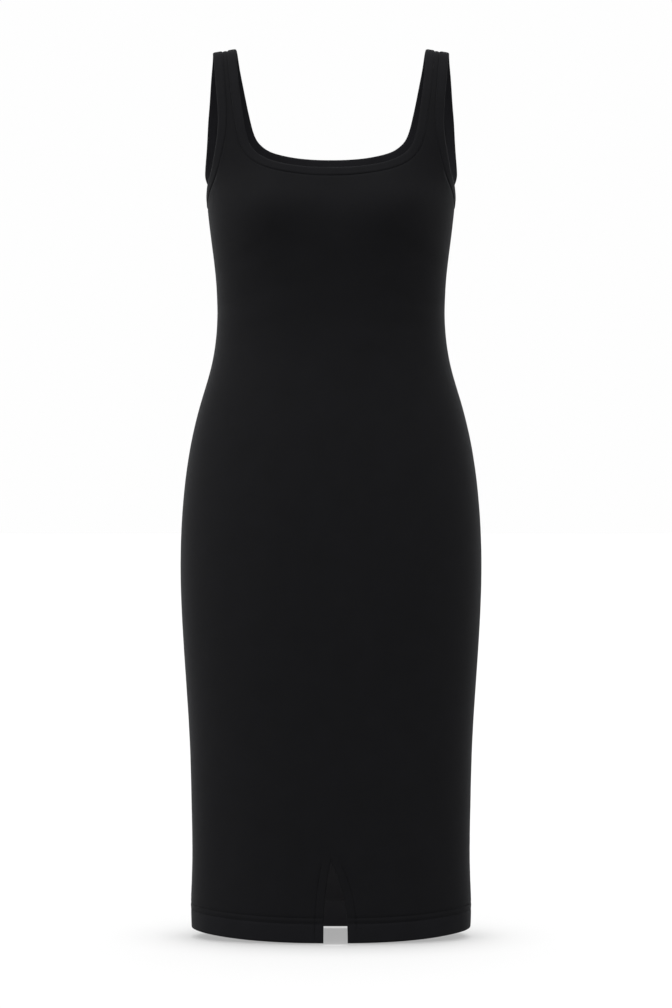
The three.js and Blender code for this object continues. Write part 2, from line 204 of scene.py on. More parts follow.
def smooth(t):
    t = np.clip(t, 0, 1)
    return t * t * (3 - 2 * t)


def mix(a, b, t):
    return a + (b - a) * t


def bump(distance, width):
    return np.exp(-(distance / width) ** 2)


def unit(v):
    return v / np.maximum(np.linalg.norm(v, axis=-1, keepdims=True), 1e-12)


def lengths_along(points):
    """Length along a line from its first point to each point."""
    return np.concatenate([[0], np.cumsum(np.linalg.norm(np.diff(points, axis=0), axis=1))])


def waves(s, table):
    """Sum of sine waves, a row of the table for each: height, length and phase."""
    return sum(height * np.sin(s / length + phase) for height, length, phase in table)


def pucker(s, phase):
    """Uneven small waves beside a row of machine stitches, at s millimetres along it."""
    return waves(s, ((1.0, 1.15, phase), (0.7, 1.73, 2 * phase), (0.5, 3.1, -phase))) / 2.2


def spline(xs, ys):
    """Natural cubic spline through the points, for arrays."""
    xs, ys = np.asarray(xs, float), np.asarray(ys, float)
    n = len(xs)
    h = np.diff(xs)
    grid = np.zeros((n, n))
    right = np.zeros(n)
    grid[0, 0] = grid[-1, -1] = 1
    for i in range(1, n - 1):
        grid[i, i - 1], grid[i, i], grid[i, i + 1] = h[i - 1], 2 * (h[i - 1] + h[i]), h[i]
        right[i] = 6 * ((ys[i + 1] - ys[i]) / h[i] - (ys[i] - ys[i - 1]) / h[i - 1])
    bend = np.linalg.solve(grid, right)

    def value(x):
        x = np.asarray(x, float)
        i = np.clip(np.searchsorted(xs, x) - 1, 0, n - 2)
        a, b = (xs[i + 1] - x) / h[i], (x - xs[i]) / h[i]
        curve = ((a ** 3 - a) * bend[i] + (b ** 3 - b) * bend[i + 1]) * h[i] ** 2 / 6
        return a * ys[i] + b * ys[i + 1] + curve

    return value


# A place on the dress is (round, root): the angle round its section and the root of its depth
# below the shoulder line
ROOTS = np.sqrt(SECTIONS[:, 0])
HALF = {"front": spline(ROOTS, SECTIONS[:, 1]), "back": spline(ROOTS, SECTIONS[:, 2])}
DEPTH = {"front": spline(ROOTS, SECTIONS[:, 3]), "back": spline(ROOTS, SECTIONS[:, 4])}
SQUARE = spline(ROOTS, SECTIONS[:, 5])


def surface(side, round_, root):
    """Outer face of the cloth, as the solids have it."""
    down = root * root
    power = 2 / SQUARE(root)
    across, along = np.sin(round_), np.cos(round_)
    x = HALF[side](root) * np.sign(across) * np.abs(across) ** power
    depth = DEPTH[side](root) * np.sign(along) * np.abs(along) ** power
    if side == "front":
        rise = bump(x - BUST["across"], BUST["wide"]) + bump(x + BUST["across"], BUST["wide"])
        rise = rise * bump(down - BUST["down"], BUST["tall"])
        depth = depth + BUST["high"] * rise * np.sqrt(np.maximum(along, 0))
    slope = SHOULDER_SLOPE * (np.abs(x) - STRAP_INNER) * np.exp(-down / SLOPE_FADE)
    y = -depth if side == "front" else depth
    return np.stack(np.broadcast_arrays(x, y, WALL - down - slope), -1)


def slopes(side, round_, root):
    e = 1e-4
    by_round = (surface(side, round_ + e, root) - surface(side, round_ - e, root)) / (2 * e)
    by_root = (surface(side, round_, root + e) - surface(side, round_, root - e)) / (2 * e)
    return by_round, by_root


def outward(side, round_, root):
    by_round, by_root = slopes(side, round_, root)
    normal = unit(np.cross(by_round, by_root))
    return -normal if side == "front" else normal


def walk(side, places, tangents, inward, distance):
    """Steps over the surface from places on an edge, square to it, into the panel."""
    round_, root = places[:, 0].copy(), places[:, 1].copy()
    across = unit(np.cross(outward(side, round_, root), tangents))
    goal = surface(side, round_, root) + inward * distance * across
    for _ in range(NEWTON_STEPS):
        miss = goal - surface(side, round_, root)
        u, v = slopes(side, round_, root)
        a, b, c = (u * u).sum(-1), (u * v).sum(-1), (v * v).sum(-1)
        p, q = (u * miss).sum(-1), (v * miss).sum(-1)
        round_ += (c * p - b * q) / (a * c - b * b)
        root += (a * q - b * p) / (a * c - b * b)
    return np.stack([round_, root], -1)


def edge_path(side, kind):
    """A finished edge as a function from the share of its length to a place."""
    rows = [(math.radians(r), math.sqrt(d)) for r, d in EDGES[side][kind]]
    before = [(-rows[2][0], rows[2][1]), (-rows[1][0], rows[1][1])] if kind == "neck" else []
    places = np.array(before + rows)
    along = lengths_along(surface(side, places[:, 0], places[:, 1]))
    along -= along[len(before)]
    round_, root = spline(along, places[:, 0]), spline(along, places[:, 1])
    total = along[-1]
    return lambda share: np.stack([round_(share * total), root(share * total)], -1)


class Edge:
    """Stations down a finished edge, with the frame that leads from it into the panel."""

    def __init__(self, side, kind, shares):
        path = edge_path(side, kind)
        forward = 1 if side == "front" else -1
        nudge = 1e-3
        self.side = side
        self.inward = -forward if kind == "neck" else forward
        self.places = path(shares)
        ahead, behind = (surface(side, *path(shares + n).T) for n in (nudge, -nudge))
        self.tangents = unit(ahead - behind)
        self.tangents[shares <= 0] = (1, 0, 0) if kind == "neck" else (0, -forward, 0)
        self.tangents[shares >= 1] = (0, forward, 0)

    def at(self, distance):
        return walk(self.side, self.places, self.tangents, self.inward, distance)


def corner_shares(corner, before, after, extra, ease=1.25):
    """Shares of an edge's length: the extra ones, then closer together towards the corner."""
    steps = before - len(extra) + 1
    t = np.arange(1, steps + 1) / steps
    t2 = np.arange(1, after + 1) / after
    return np.concatenate([
        extra, corner * mix(extra[-1] / corner, 1, 1 - (1 - t) ** ease),
        mix(corner, 1, mix(t2, smooth(t2), 0.5)),
    ])


def hem_down(round_):
    return HEM["side"] + HEM["drop"] * np.maximum(np.cos(round_), 0) ** HEM["power"]


def round_at(side, x, root):
    return np.arcsin(np.clip(x / HALF[side](root), 0, 1) ** (SQUARE(root) / 2))


def slit_open(rise, half):
    """How far the slit's edge stands from the centre line, rise millimetres over the hem."""
    edge = SLIT["right"] if half > 0 else SLIT["left"]
    return edge * (1 - np.clip(rise / SLIT["long"], 0, 1) ** SLIT["power"])


def hem_line(side, skirt, lines, rise, half):
    """A mesh line beside the slit; on the front the open slit pushes it aside."""
    root = np.sqrt(hem_down(skirt) - rise)
    row = skirt
    if side == "front":
        open_ = slit_open(rise, half)
        x = surface(side, skirt, root)[:, 0] + open_ * np.maximum(0, 1 - skirt / SLIT["spread"])
        x[: len(lines)] = lines + open_
        row = np.where(skirt < SLIT["spread"], round_at(side, x, root), skirt)
    return np.stack([row, root], -1)


def half_panel(side, neck_edge, arm_edge, half):
    """Places of the mesh lines of half a panel; strap rows are empty outside the strap."""
    neck, strap, arm = GRID[side]
    columns = neck + strap + arm
    lines = SLIT_LINES if side == "front" else np.zeros(1)
    folds = round_at(side, lines, math.sqrt(CHEST_LINE))
    even = np.arange(1, columns - len(folds) + 2) / (columns - len(folds) + 1)
    skirt = np.concatenate([folds, mix(folds[-1], math.pi / 2, even)])
    seam_neck = neck_edge.at(BAND["neck"] - TUCK)
    seam_arm = arm_edge.at(BAND["armhole"] - TUCK)
    over = np.arange(strap + 1)[:, None] / strap
    foot = mix(seam_neck[neck], seam_arm[arm], over[1:-1])
    top = np.concatenate([seam_neck[: neck + 1], foot, seam_arm[: arm + 1][::-1]])
    rows = [hem_line(side, skirt, lines, rise, half) for rise in RISES]
    for r in range(1, SKIRT_ROWS + 1):
        down = mix(hem_down(skirt) - RISES[-1], CHEST_LINE, r / SKIRT_ROWS)
        rows.append(np.stack([skirt, np.sqrt(down)], -1))
    for r in range(1, CHEST_ROWS + 1):
        share = r / CHEST_ROWS
        down = mix(CHEST_LINE, top[:, 1] ** 2, share)
        rows.append(np.stack([mix(skirt, top[:, 0], smooth(share)), np.sqrt(down)], -1))
    for r in range(1, STRAP_ROWS + 1):
        row = np.full((columns + 1, 2), np.nan)
        row[neck: neck + strap + 1] = mix(seam_neck[neck + r], seam_arm[arm + r], over)
        rows.append(row)
    return np.array(rows)


class HalfCloth:
    """Points and normals of half a panel, and how far each point lies from edges and seams."""

    def __init__(self, side, places, half):
        self.known = ~np.isnan(places[..., 0])
        round_ = np.where(self.known, places[..., 0], NO_PLACE[0])
        root = np.where(self.known, places[..., 1], NO_PLACE[1])
        mirror = np.array([half, 1, 1])
        self.points = surface(side, round_, root) * mirror
        self.normals = outward(side, round_, root) * mirror
        step = np.linalg.norm(np.diff(self.points, axis=1), axis=-1)
        step[~(self.known[:, 1:] & self.known[:, :-1])] = 0
        none = np.zeros((len(step), 1))
        first = np.where(self.known[:, :1], 0, STRAP_ARC)
        self.along = (first + np.concatenate([none, np.cumsum(step, axis=1)], axis=1)) * half
        self.rise = np.full(self.known.shape, FAR)
        self.rise[: len(RISES)] = RISES[:, None]
        self.from_slit = np.full(self.known.shape, FAR)
        if side == "front":
            self.from_slit = self.slit_distance(half)
        self.from_side = np.concatenate([step[:, ::-1].cumsum(axis=1)[:, ::-1], none], axis=1)
        self.from_side[SEAM_ROW + 1:] = FAR
        self.from_shoulder = np.abs(self.points[..., 1])
        self.from_shoulder[: SEAM_ROW + 1] = FAR
        self.from_band = self.band_distance(*GRID[side][:2])

    def slit_distance(self, half):
        """Distance to the slit's edge, or to its top from the rows over it."""
        over = len(RISES)
        x, z = self.points[..., 0], self.points[..., 2]
        beside = np.abs(x[:over]) - slit_open(RISES, half)[:, None]
        above = np.maximum(z[over:] - z[over - 1, 0], 0)
        return np.concatenate([beside, np.hypot(x[over:], above)])

    def band_distance(self, neck, strap):
        """Distance to the panel's edge under a band: up a column, or across the strap."""
        distance = np.full(self.known.shape, FAR)
        body = self.points[: SEAM_ROW + 1]
        distance[: SEAM_ROW + 1] = np.linalg.norm(body - body[SEAM_ROW], axis=-1)
        distance[:, neck + 1: neck + strap] = FAR
        row = self.points[SEAM_ROW:, neck: neck + strap + 1]
        ends = (np.linalg.norm(row - row[:, [end]], axis=-1) for end in (0, -1))
        distance[SEAM_ROW:, neck: neck + strap + 1] = np.minimum(*ends)
        return distance


def crease_field(side, points):
    """Height of the soft creases at points of a panel, for its outer and inner faces alike."""
    x, z = points[..., 0], points[..., 2]
    height = np.zeros(x.shape)
    for cx, cz, turn, half_long, half_wide, deep in CREASES[side]:
        c, s = math.cos(math.radians(turn)), math.sin(math.radians(turn))
        u, v = (x - cx) * c + (z - cz) * s, -(x - cx) * s + (z - cz) * c
        bow = v - CREASE_BOW * u * u
        sides = CREASE_SIDE_HIGH * bump(bow, CREASE_SIDE_WIDE * half_wide)
        height -= deep * bump(u, half_long) * (bump(bow, half_wide) - sides)
    phase = CREASE_PHASE[side]
    height += 0.16 * np.sin(x / 23 + phase) * np.sin(z / 61 + 1.7 * phase)
    height += 0.10 * np.sin(x / 13.7 - z / 87 + phase) * np.sin(z / 29 - phase)
    return height


def soft_creases(side, cloth):
    height = crease_field(side, cloth.points)
    height *= smooth(cloth.from_band / CREASE_FADE["band"])
    height *= smooth(cloth.from_side / CREASE_FADE["side"])
    height *= smooth((cloth.rise - CREASE_OFF_HEM) / CREASE_FADE["hem"])
    return height * smooth(cloth.from_slit / CREASE_FADE["slit"])


def groove(kind, distance):
    deep, wide = GROOVE[kind]
    return -deep * bump(distance, wide)


def puckers(kind, distance, s, phase):
    high, wide = PUCKER[kind]
    return high * bump(distance, wide) * pucker(s, phase)


def hem_relief(side, cloth):
    """The hem's twin rows pull grooves with a soft ridge between them, and the hem swells."""
    rise, along = cloth.rise, cloth.along
    relief = HEM_RIDGE["high"] * bump(rise - sum(HEM_ROWS) / 2, HEM_RIDGE["wide"])
    for row in HEM_ROWS:
        relief += groove("hem", rise - row) + puckers("hem", rise - row, along, 0.4 + row)
    flare = HEM_FLARE["rate"] * np.maximum(HEM_ROWS[0] - rise, 0)
    relief += flare * smooth(cloth.from_side / HEM_FLARE["fade"])
    swell = HEM_SWELL["high"] * waves(along, HEM_SWELL_WAVES)
    swell *= bump(rise - HEM_SWELL["middle"], HEM_SWELL["wide"])
    relief += swell * smooth(cloth.from_slit / HEM_SWELL["fade"])
    if side == "front":
        from_row = cloth.from_slit - SLIT_ROW
        slit = groove("slit", from_row) + puckers("slit", from_row, rise, 1.1)
        relief += slit * (rise < SLIT_SEWN)
    return relief


def seam_relief(cloth):
    """Grooves and puckers at the bands, the side seams and the shoulder seams."""
    relief = groove("band", np.maximum(cloth.from_band - TUCK, 0))
    relief += groove("side", cloth.from_side) + groove("shoulder", cloth.from_shoulder)
    off_band, off_side = cloth.from_band - TUCK - BAND_PUCKER_IN, cloth.from_side - SIDE_PUCKER_IN
    relief += puckers("band", off_band, cloth.along + cloth.rise / 7, 0.2)
    return relief + puckers("side", off_side, cloth.points[..., 2], 0.8)


def turned_in(distance, turning):
    """1 where the cloth is turned in and lies double, 0 beyond."""
    return smooth((turning + TURN_STEP / 2 - distance) / TURN_STEP)


def rounded(distance):
    """1 at a folded edge, falling to 0 in a round."""
    return 1 - np.sqrt(np.clip(distance / FOLD_REACH, 0, 1))


def shell_points(side, cloth):
    """Points of a half panel's outer and inner faces."""
    height = soft_creases(side, cloth)
    relief = hem_relief(side, cloth) + seam_relief(cloth)
    fold = np.maximum(rounded(cloth.rise), rounded(cloth.from_slit))
    double = np.maximum(turned_in(cloth.rise, HEM_TURN), turned_in(cloth.from_slit, SLIT_TURN))
    thick = CLOTH * (1 + TURN_ADDS * double)
    out = height + relief - fold
    into = height + RELIEF_INSIDE * relief - thick + FOLD_INSIDE * fold
    into = np.minimum(into, out - LEAST_CLOTH)
    return (cloth.points + cloth.normals * lift[..., None] for lift in (out, into))


def shell_faces(halves, count, flip):
    """Outer faces, inner faces, and those that close the shell along its free edges."""
    faces, free = [], {}
    for half, numbers in halves.items():
        corners = (numbers[:-1, :-1], numbers[:-1, 1:], numbers[1:, 1:], numbers[1:, :-1])
        quads = np.stack(corners, -1)
        quads = quads[(quads >= 0).all(-1)]
        if (half < 0) != flip:
            quads = quads[:, ::-1]
        for quad in quads.tolist():
            faces.append(quad)
            faces.append([i + count for i in quad[::-1]])
            for i in range(4):
                edge = (quad[i], quad[(i + 1) % 4])
                if edge[::-1] in free:
                    del free[edge[::-1]]
                else:
                    free[edge] = True
    return faces + [[q, p, p + count, q + count] for p, q in free]


def make_mesh(name, points, faces, uvs=None):
    """Object from points in millimetres, with a UV for each point where they are given."""
    mesh = bpy.data.meshes.new(name)
    mesh.from_pydata((points * MM).tolist(), [], faces)
    if uvs is not None:
        loops = np.empty(len(mesh.loops), dtype=np.int32)
        mesh.loops.foreach_get("vertex_index", loops)
        add_uvs(mesh, uvs[loops])
    mesh.polygons.foreach_set("use_smooth", [True] * len(mesh.polygons))
    mesh.update()
    return add_object(name, mesh)


def add_uvs(mesh, uvs):
    layer = mesh.uv_layers.new(name="cloth")
    layer.data.foreach_set("uv", (uvs * MM).astype(np.float32).ravel())


def add_object(name, data):
    thing = bpy.data.objects.new(name, data)
    bpy.context.scene.collection.objects.link(thing)
    return thing


def panel(name, side):
    """Thin shell of the front or back. Its halves share the centre line above the slit."""
    joined = len(RISES) - 1 if side == "front" else 0
    outer, inner, uvs, halves = [], [], [], {}
    count = 0
    for half in (1, -1):
        cloth = HalfCloth(side, half_panel(side, *EDGE[side], half), half)
        own = cloth.known.copy()
        numbers = np.full(own.shape, -1)
        if half < 0:
            own[joined:, 0] = False
            numbers[joined:, 0] = halves[1][joined:, 0]
        numbers[own] = count + np.arange(own.sum())
        count += int(own.sum())
        halves[half] = numbers
        for points, found in zip((outer, inner), shell_points(side, cloth)):
            points.append(found[own])
        uvs.append(np.stack([cloth.along[own], cloth.points[own][:, 2]], -1))
    faces = shell_faces(halves, count, side == "back")
    return make_mesh(name, np.concatenate(outer + inner), faces, np.concatenate(uvs + uvs))


def band_relief(share, along, total, phase):
    """Uneven height of a band's outer face, dying away towards the shoulder and side seams."""
    ends = smooth(along / BAND_FADE) * smooth((total - along) / BAND_FADE)
    gather = BAND_GATHER["high"] * bump(share - BAND_GATHER["at"], BAND_GATHER["wide"])
    swell = BAND_SWELL["high"] * np.sin(along / BAND_SWELL["long"] + phase)
    return (gather * pucker(along, phase) + swell) * ends


def band_sections(side, kind, half, order, phase):
    """Sections of a folded band along one edge, in order round the ring, with their lengths
    along it, their whole length, and the band's row of stitches."""
    edge = FINE[side][kind]
    seam = edge.at(BAND[kind])
    shares, heights = np.array(BAND_SHAPE).T
    places = mix(edge.places[:, None, :], seam[:, None, :], shares[None, :, None])
    along = lengths_along(surface(side, edge.places[:, 0], edge.places[:, 1]))
    relief = band_relief(shares, along[:, None], along[-1], phase) * (heights > 0)
    points = surface(side, places[..., 0], places[..., 1])
    points = points + outward(side, places[..., 0], places[..., 1]) * (heights + relief)[..., None]
    # the ends lie on the centre line or side seam, and on the shoulder seam
    points[0, :, 0 if kind == "neck" else 1] = 0
    points[-1, :, 1] = 0
    share = 1 - BAND_STITCH / BAND[kind]
    row = mix(edge.places, seam, share)
    lift = STITCH_LIFT["band"] + band_relief(share, along, along[-1], phase)
    stitches = line_on(side, row[:, 0], row[:, 1], half, lift[:, None])
    last = len(points) - 1
    chosen = np.arange(last) if order > 0 else last - np.arange(last)
    lengths = along if order > 0 else along[-1] - along
    return points[chosen] * np.array([half, 1, 1]), lengths[chosen], along[-1], stitches


def ring(name, parts):
    """Closed ring of a folded band, its UV along the ring and across the band."""
    points, lengths, total = [], [], 0.0
    for sections, along, whole, _ in parts:
        points.append(sections)
        lengths.append(total + along)
        total += whole
    points, lengths = np.concatenate(points), np.concatenate(lengths)
    count, size = points.shape[:2]
    steps = lengths_along(points[0])
    vertices = points.reshape(-1, 3)
    faces, uvs, inside = [], [], []
    for s in range(count):
        n = (s + 1) % count
        for i in range(size):
            j = (i + 1) % size
            faces.append([s * size + i, s * size + j, n * size + j, n * size + i])
            inside.append(int(max(BAND_SHAPE[i][1], BAND_SHAPE[j][1]) < BAND_INNER_FACE))
            v0, v1 = lengths[s], lengths[n] if n else total
            u0, u1 = steps[i], steps[j] if j else steps[-1] + BAND_CLOSE
            uvs.append([(v0, u0), (v0, u1), (v1, u1), (v1, u0)])
    a, b, c = (vertices[[f[k] for f in faces]] for k in (0, 1, 2))
    if (a * np.cross(b, c)).sum() < 0:
        faces = [f[::-1] for f in faces]
        uvs = [corners[::-1] for corners in uvs]
    piece = make_mesh(name, vertices, faces)
    add_uvs(piece.data, np.array(uvs))
    return piece, inside, total


def stitch_form(length, radius):
    """Points and faces of one stitch: blunt, flattened, its ends dipping into the cloth."""
    sides, rings = STITCH_SIDES, STITCH_RINGS
    t = np.linspace(-1, 1, rings)
    girth = np.sqrt(np.maximum(1 - t ** 2, 0)) ** STITCH_BLUNT
    girth[0] = girth[-1] = STITCH_TIP
    angle = np.arange(sides) * 2 * math.pi / sides
    points = np.stack([
        np.repeat(t * length / 2, sides),
        (girth[:, None] * np.cos(angle) * radius).ravel(),
        (girth[:, None] * np.sin(angle) * radius * STITCH_FLAT).ravel(),
    ], -1)
    points[:, 2] -= STITCH_DIP * np.repeat(t, sides) ** 4
    faces = []
    for b in range(rings - 1):
        for i in range(sides):
            j = (i + 1) % sides
            faces.append([b * sides + i, b * sides + j, (b + 1) * sides + j, (b + 1) * sides + i])
    faces.append(list(range(sides))[::-1])
    faces.append([(rings - 1) * sides + i for i in range(sides)])
    return points, faces


def thread_rows(name, rows, pitch, length, radius):
    """Machine stitches as one mesh: each row is points along a line with their normals."""
    form, form_faces = stitch_form(length, radius)
    points, faces = [], []
    nudge = 0.4
    for line, normals in rows:
        along = lengths_along(line)
        number = max(int(along[-1] / pitch), 1)
        marks = (np.arange(number) + 0.5) * along[-1] / number

        def read(values, at):
            return np.stack([np.interp(at, along, values[:, k]) for k in range(3)], -1)

        forward = unit(read(line, marks + nudge) - read(line, marks - nudge))
        across = unit(np.cross(unit(read(normals, marks)), forward))
        bases = np.stack([forward, across, np.cross(forward, across)], 1)
        for middle, basis in zip(read(line, marks), bases):
            base = len(points) * len(form)
            points.append(middle + form @ basis)
            faces += [[i + base for i in face] for face in form_faces]
    return make_mesh(name, np.concatenate(points), faces)


def line_on(side, round_, root, half, height):
    """Points along a line at a height over the cloth, with their normals."""
    mirror = np.array([half, 1, 1])
    normals = outward(side, round_, root)
    return (surface(side, round_, root) + normals * height) * mirror, normals * mirror


def hem_stitch_rows():
    """The hem's twin rows, and the rows beside the slit."""
    rows = []
    start_off_slit, end = 1.5, math.radians(89.4)
    for side in ("front", "back"):
        for half in (1, -1):
            for rise in HEM_ROWS:
                begin = 0.0
                if side == "front":
                    root = math.sqrt(hem_down(0.0) - rise)
                    begin = float(round_at(side, slit_open(rise, half) + start_off_slit, root))
                round_ = np.linspace(begin, end, 300)
                root = np.sqrt(hem_down(round_) - rise)
                rows.append(line_on(side, round_, root, half, STITCH_LIFT["hem"]))
    rise = np.linspace(1.5, 97, 120)
    root = np.sqrt(hem_down(0.0) - rise)
    for half in (1, -1):
        round_ = round_at("front", slit_open(rise, half) + SLIT_ROW, root)
        rows.append(line_on("front", round_, root, half, STITCH_LIFT["slit"]))
    return rows


EDGE, FINE = {}, {}
for side in ("front", "back"):
    neck, _, arm = GRID[side]
    extra = SLIT_LINES / NECK_PATH if side == "front" else np.zeros(1)
    EDGE[side] = (
        Edge(side, "neck", corner_shares(NECK_CORNER, neck, STRAP_ROWS, extra)),
        Edge(side, "armhole", corner_shares(ARM_CORNER, arm, STRAP_ROWS, np.zeros(1))),
    )
    stations = np.linspace(0, 1, BAND_STATIONS)
    FINE[side] = {kind: Edge(side, kind, stations) for kind in ("neck", "armhole")}

front = panel("front_cloth", "front")
back = panel("back_cloth", "back")
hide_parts("front_panel")
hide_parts("back_panel")

# Parts of a ring: side, half of the body, direction along the edge and phase of its unevenness
parts = [
    band_sections(side, "neck", half, order, phase) for side, half, order, phase in (
        ("front", 1, 1, 0.3), ("back", 1, -1, 1.9), ("back", -1, 1, 2.7), ("front", -1, -1, 4.1))
]
neck_ring, neck_inside, neck_long = ring("neck_band_cloth", parts)
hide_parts("neck_band")
band_rows = [part[-1] for part in parts]
arm_rings, arm_inside = {}, {}
for word, half in (("left", 1), ("right", -1)):
    parts = [
        band_sections("front", "armhole", half, 1, 0.8 + half),
        band_sections("back", "armhole", half, -1, 3.1 + half),
    ]
    arm_rings[word], arm_inside[word], arm_long = ring(f"armhole_band_{word}_cloth", parts)
    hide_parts(f"armhole_band_{word}")
    band_rows += [part[-1] for part in parts]

hem_threads = thread_rows("hem_stitching", hem_stitch_rows(), **HEM_STITCH)
band_threads = thread_rows("band_stitching", band_rows, **BAND_STITCH_SIZE)
pieces = (front, back, neck_ring, *arm_rings.values(), hem_threads, band_threads)


def new_material(name):
    material = bpy.data.materials.new(name)
    material.use_nodes = True
    return material, material.node_tree, material.node_tree.nodes["Principled BSDF"]


def set_inputs(node, values):
    for name, value in values.items():
        node.inputs[name].default_value = value


def math_node(tree, operation, a, b=None):
    node = tree.nodes.new("ShaderNodeMath")
    node.operation = operation
    for socket, value in zip(node.inputs, (a, b)):
        if value is None:
            continue
        if isinstance(value, (int, float)):
            socket.default_value = value
        else:
            tree.links.new(value, socket)
    return node.outputs[0]


def texture(tree, kind, values):
    """A texture in the piece's own space."""
    node = tree.nodes.new(kind)
    set_inputs(node, values)
    place = tree.nodes.new("ShaderNodeTexCoord")
    tree.links.new(place.outputs["Object"], node.inputs["Vector"])
    return node


def add_bump(tree, shader, height, strength, distance):
    node = tree.nodes.new("ShaderNodeBump")
    set_inputs(node, {"Strength": strength, "Distance": distance})
    tree.links.new(height, node.inputs["Height"])
    tree.links.new(node.outputs["Normal"], shader.inputs["Normal"])


def add_tones(tree, shader, value, dark, light, light_at=1.0):
    ramp = tree.nodes.new("ShaderNodeValToRGB")
    first, last = ramp.color_ramp.elements
    first.color, last.color = (*dark, 1), (*light, 1)
    last.position = light_at
    tree.links.new(value, ramp.inputs["Fac"])
    tree.links.new(ramp.outputs["Color"], shader.inputs["Base Color"])


JERSEY_DARK, JERSEY_LIGHT = np.array([0.0016, 0.0016, 0.0020]), np.array([0.0029, 0.0029, 0.0037])
WALE, COURSE = 0.00078, 0.00058


def knit_height(tree, across, along):
    """Rows of small Vs: wales across the cloth and courses along it."""
    wale = math_node(tree, "FRACT", math_node(tree, "MULTIPLY", across, 1 / WALE))
    lean = math_node(tree, "ABSOLUTE", math_node(tree, "SUBTRACT", wale, 0.5))
    course = math_node(tree, "MULTIPLY", along, 1 / COURSE)
    leaning = math_node(tree, "ADD", course, math_node(tree, "MULTIPLY", lean, 1.6))
    vee = math_node(tree, "SINE", math_node(tree, "MULTIPLY", leaning, 2 * math.pi))
    body = math_node(tree, "COSINE", math_node(tree, "MULTIPLY", lean, 2 * math.pi))
    vee = math_node(tree, "MULTIPLY", vee, 0.35)
    return math_node(tree, "ADD", vee, math_node(tree, "MULTIPLY", body, -0.35))


def jersey(name, shade=1.0, turned=False):
    """Fine single-knit jersey: wales along the length, small Vs, a faint uneven tone and nap."""
    material, tree, shader = new_material(name)
    uv = tree.nodes.new("ShaderNodeUVMap")
    uv.uv_map = "cloth"
    split = tree.nodes.new("ShaderNodeSeparateXYZ")
    tree.links.new(uv.outputs["UV"], split.inputs[0])
    across, along = (split.outputs[1], split.outputs[0]) if turned else split.outputs[:2]
    knit = knit_height(tree, across, along)
    uneven = texture(tree, "ShaderNodeTexNoise", {"Scale": 34.0, "Detail": 4.0}).outputs["Fac"]
    nap = texture(tree, "ShaderNodeTexNoise", {"Scale": 900.0, "Detail": 3.0}).outputs["Fac"]
    height = math_node(tree, "ADD", knit, math_node(tree, "MULTIPLY", nap, 0.5))
    add_bump(tree, shader, height, 0.55, 0.00012)
    uneven = math_node(tree, "MULTIPLY", uneven, 0.55)
    # The tone is a random uneven mottle, plus painted shade from the knit: lighter on its raised
    # loops, darker in its hollows
    tone = math_node(tree, "ADD", uneven, math_node(tree, "MULTIPLY", knit, 0.35))
    # A shade above 1 makes a lighter copy of this same jersey: painted light
    add_tones(tree, shader, tone, JERSEY_DARK * shade, JERSEY_LIGHT * shade, light_at=0.75)
    rough = math_node(tree, "ADD", math_node(tree, "MULTIPLY", nap, 0.12), 0.78)
    tree.links.new(rough, shader.inputs["Roughness"])
    set_inputs(shader, {
        "Specular IOR Level": 0.08, "Sheen Weight": 0.035, "Sheen Roughness": 0.35,
        "Sheen Tint": (0.92, 0.95, 1.0, 1),
    })
    return material


def thread_material():
    material, tree, shader = new_material("black_thread")
    twist = texture(tree, "ShaderNodeTexWave", {"Scale": 1400.0, "Distortion": 2.0})
    twist.bands_direction = "DIAGONAL"
    turn = twist.outputs["Fac"]
    add_tones(tree, shader, turn, (0.0006, 0.0006, 0.0007), (0.0020, 0.0020, 0.0023))
    add_bump(tree, shader, turn, 0.4, 0.00008)
    set_inputs(shader, {"Roughness": 0.6, "Specular IOR Level": 0.05})
    return material


def cloth_kinds(piece):
    """Material of each face of a panel: body outside and inside, then turned hem likewise. The
    inside and the turned hem get lighter copies of the jersey, painted light.
    """
    points = len(piece.data.vertices) // 2
    kinds = []
    for face in piece.data.polygons:
        x, y, z = face.center
        rise = hem_down(math.atan2(abs(x), abs(y) * 2)) - (WALL - z / MM)
        inside = min(face.vertices) >= points
        turned = rise < (HEM_TURN if inside else HEM_ROWS[0] + 0.5)
        kinds.append(inside + 2 * turned)
    return kinds


def dress_in(piece, materials, kinds=None):
    for material in materials:
        piece.data.materials.append(material)
    if kinds is not None:
        piece.data.polygons.foreach_set("material_index", kinds)


# Copies of one jersey: the body's own tone, then lighter copies with painted light that lifts the
# shade of the inside faces, brightens the turned hem's outer face, and lifts the turned hem's
# inside most
panel_cloths = (
    jersey("black_jersey"),
    jersey("black_jersey_inside_painted_light", shade=1.75),
    jersey("black_jersey_hem", shade=1.4),
    jersey("black_jersey_hem_inside_painted_light", shade=2.5),
)
# Two lighter copies of the same jersey for the bands: painted light on the outer faces, and more
# painted light lifting the shade of the inner faces
band_cloths = (
    jersey("black_jersey_band", shade=1.2, turned=True),
    jersey("black_jersey_band_inside_painted_light", shade=2.4, turned=True),
)
thread = thread_material()
for piece in (front, back):
    dress_in(piece, panel_cloths, cloth_kinds(piece))
dress_in(neck_ring, band_cloths, neck_inside)
for word, piece in arm_rings.items():
    dress_in(piece, band_cloths, arm_inside[word])
for piece in (hem_threads, band_threads):
    dress_in(piece, [thread])
for piece in pieces:
    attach(piece, "root")

# Studio, in metres
FLOOR = -1.1070
FLOOR_CORNERS = ((-30, -30), (30, -30), (30, 60), (-30, 60))
INSIDE_HEM = {"wide": 0.168, "deep": 0.084, "over": 0.0002, "points": 96}
PHOTO_HIGH, FOCAL_PIXELS, SENSOR = 1008, 3600, 36


